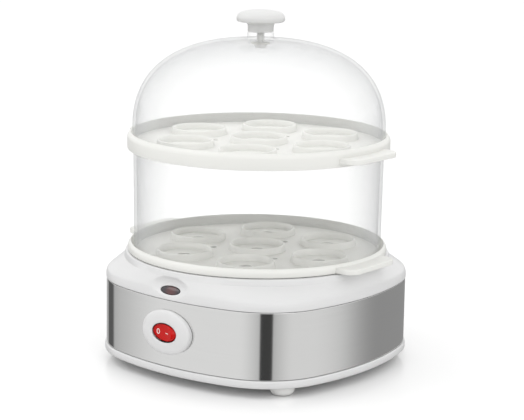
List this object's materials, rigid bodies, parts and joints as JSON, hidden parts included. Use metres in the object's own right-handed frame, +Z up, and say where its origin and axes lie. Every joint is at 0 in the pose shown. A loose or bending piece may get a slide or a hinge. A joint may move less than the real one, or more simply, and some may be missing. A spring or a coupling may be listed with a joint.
{
  "type": "electric egg cooker",
  "caption": "Two-tier electric egg cooker: bulged square base with a rocker switch and heating dish, two trays, a clear steam ring and a clear domed lid with a knob.",
  "frame": {"origin": "on the table plane, under the middle of the base", "axes": "+Z up, -Y out of the switch face, +X to the right seen from the switch side"},
  "size_m": [0.172, 0.1732, 0.2082],
  "materials": {
    "white_plastic": "moulded ABS, soft satin gloss",
    "tray_plastic": "moulded polypropylene, satin",
    "foot_plastic": "moulded, matte",
    "brushed_steel": "brushed stainless sheet, upright grain",
    "dish_steel": "spun stainless, satin",
    "zinc_plate": "bright zinc plated steel",
    "brass": "stamped brass",
    "silicone": "moulded silicone",
    "black_plastic": "moulded nylon, fine texture",
    "red_plastic": "translucent red, glossy, white O and line marks",
    "smoked_plastic": "smoked translucent lens, glossy",
    "neon_glass": "clear glass with neon",
    "bakelite": "pressed phenolic",
    "nylon": "natural nylon",
    "red_wire": "insulated wire",
    "blue_wire": "insulated wire",
    "white_wire": "insulated wire in glass sleeve",
    "clear_plastic": "clear moulded plastic, glossy"
  },
  "bodies": {
    "base": {"upper_housing": "white_plastic", "steel_band": "brushed_steel", "bottom_plate": "white_plastic", "foot_back_right": "foot_plastic", "foot_back_left": "foot_plastic", "foot_front_left": "foot_plastic", "foot_front_right": "foot_plastic", "screw_back_right": "zinc_plate", "screw_back_left": "zinc_plate", "screw_front_left": "zinc_plate", "screw_front_right": "zinc_plate", "heating_plate": "dish_steel", "plate_gasket": "silicone", "heating_element": "dish_steel", "heater_pin_left": "zinc_plate", "heater_pin_right": "zinc_plate", "thermostat": "bakelite", "thermostat_blade_left": "brass", "thermostat_blade_right": "brass", "clamp_strap": "zinc_plate", "clamp_stud_left": "zinc_plate", "clamp_stud_right": "zinc_plate", "clamp_nut_left": "zinc_plate", "clamp_nut_right": "zinc_plate", "thermal_fuse": "nylon", "indicator_lens": "smoked_plastic", "indicator_lamp": "neon_glass", "switch_bezel": "white_plastic", "switch_body": "black_plastic", "rocker_axle": "zinc_plate", "switch_blade_1": "brass", "switch_blade_2": "brass", "switch_blade_3": "brass", "cord_gland": "black_plastic", "gland_nut": "black_plastic", "terminal_block": "nylon", "wire_live": "red_wire", "wire_switched": "red_wire", "wire_fuse": "white_wire", "wire_heater": "white_wire", "wire_neutral": "blue_wire", "wire_lamp": "white_wire"},
    "rocker": {"switch_rocker": "red_plastic"},
    "lower_tier": {"lower_tray": "tray_plastic"},
    "steam_tier": {"steam_ring": "clear_plastic"},
    "upper_tier": {"upper_tray": "tray_plastic"},
    "lid": {"lid_dome": "clear_plastic", "lid_knob": "white_plastic", "knob_screw": "nylon", "knob_washer": "silicone"}
  },
  "joints": [
    {"name": "rocker_press", "type": "hinge", "parent": "base", "child": "rocker", "pos_m": [0, -0.0784, 0.031], "axis": [0, 0, 1], "range_deg": [0, 20]},
    {"name": "lower_tray_lift", "type": "slide", "parent": "base", "child": "lower_tier", "axis": [0, 0, 1], "range_m": [0, 0.06]},
    {"name": "steam_ring_lift", "type": "slide", "parent": "lower_tier", "child": "steam_tier", "axis": [0, 0, 1], "range_m": [0, 0.08]},
    {"name": "upper_tray_lift", "type": "slide", "parent": "steam_tier", "child": "upper_tier", "axis": [0, 0, 1], "range_m": [0, 0.06]},
    {"name": "lid_lift", "type": "slide", "parent": "upper_tier", "child": "lid", "axis": [0, 0, 1], "range_m": [0, 0.09]}
  ]
}
